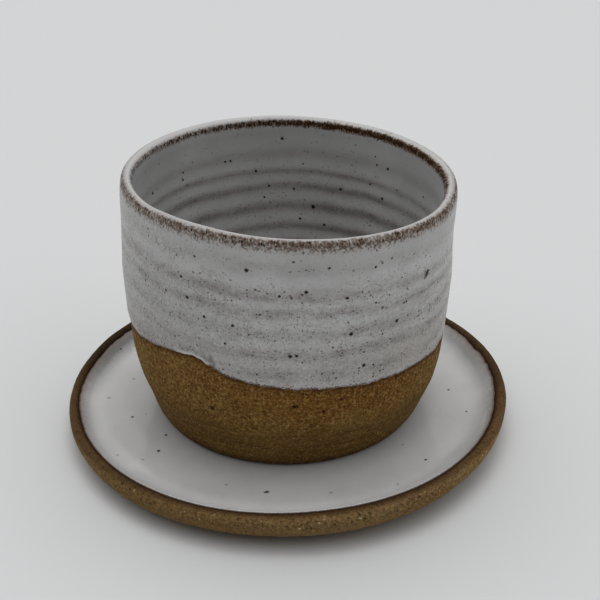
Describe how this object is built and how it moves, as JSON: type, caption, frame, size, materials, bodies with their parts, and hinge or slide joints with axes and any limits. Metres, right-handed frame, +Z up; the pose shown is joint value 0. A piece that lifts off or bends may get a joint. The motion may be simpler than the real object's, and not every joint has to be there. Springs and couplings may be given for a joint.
{
  "type": "pottery cup with saucer",
  "caption": "Thrown stoneware cup without a handle, white speckled glaze over a bare clay base, standing loose on a low round saucer with a glazed well and a bare clay rim.",
  "frame": {"origin": "on the table, under the middle of the saucer", "axes": "+Z up along the cup's and saucer's axis, -Y towards the viewer of the picture, +X to the viewer's right"},
  "size_m": [0.1283, 0.129, 0.0779],
  "materials": {
    "stoneware": "bare fired clay, brown, matt, with pale and dark grog",
    "white_glaze": "greyish white satin to glossy glaze with iron specks, brown where it runs thin"
  },
  "bodies": {
    "saucer": {"saucer_body": "stoneware", "saucer_glaze": "white_glaze"},
    "cup": {"cup_body": "stoneware", "cup_glaze": "white_glaze"}
  },
  "joints": [
    {"name": "cup_lift", "type": "slide", "parent": "saucer", "child": "cup", "axis": [0, 0, 1], "range_m": [0, 0.08]}
  ]
}
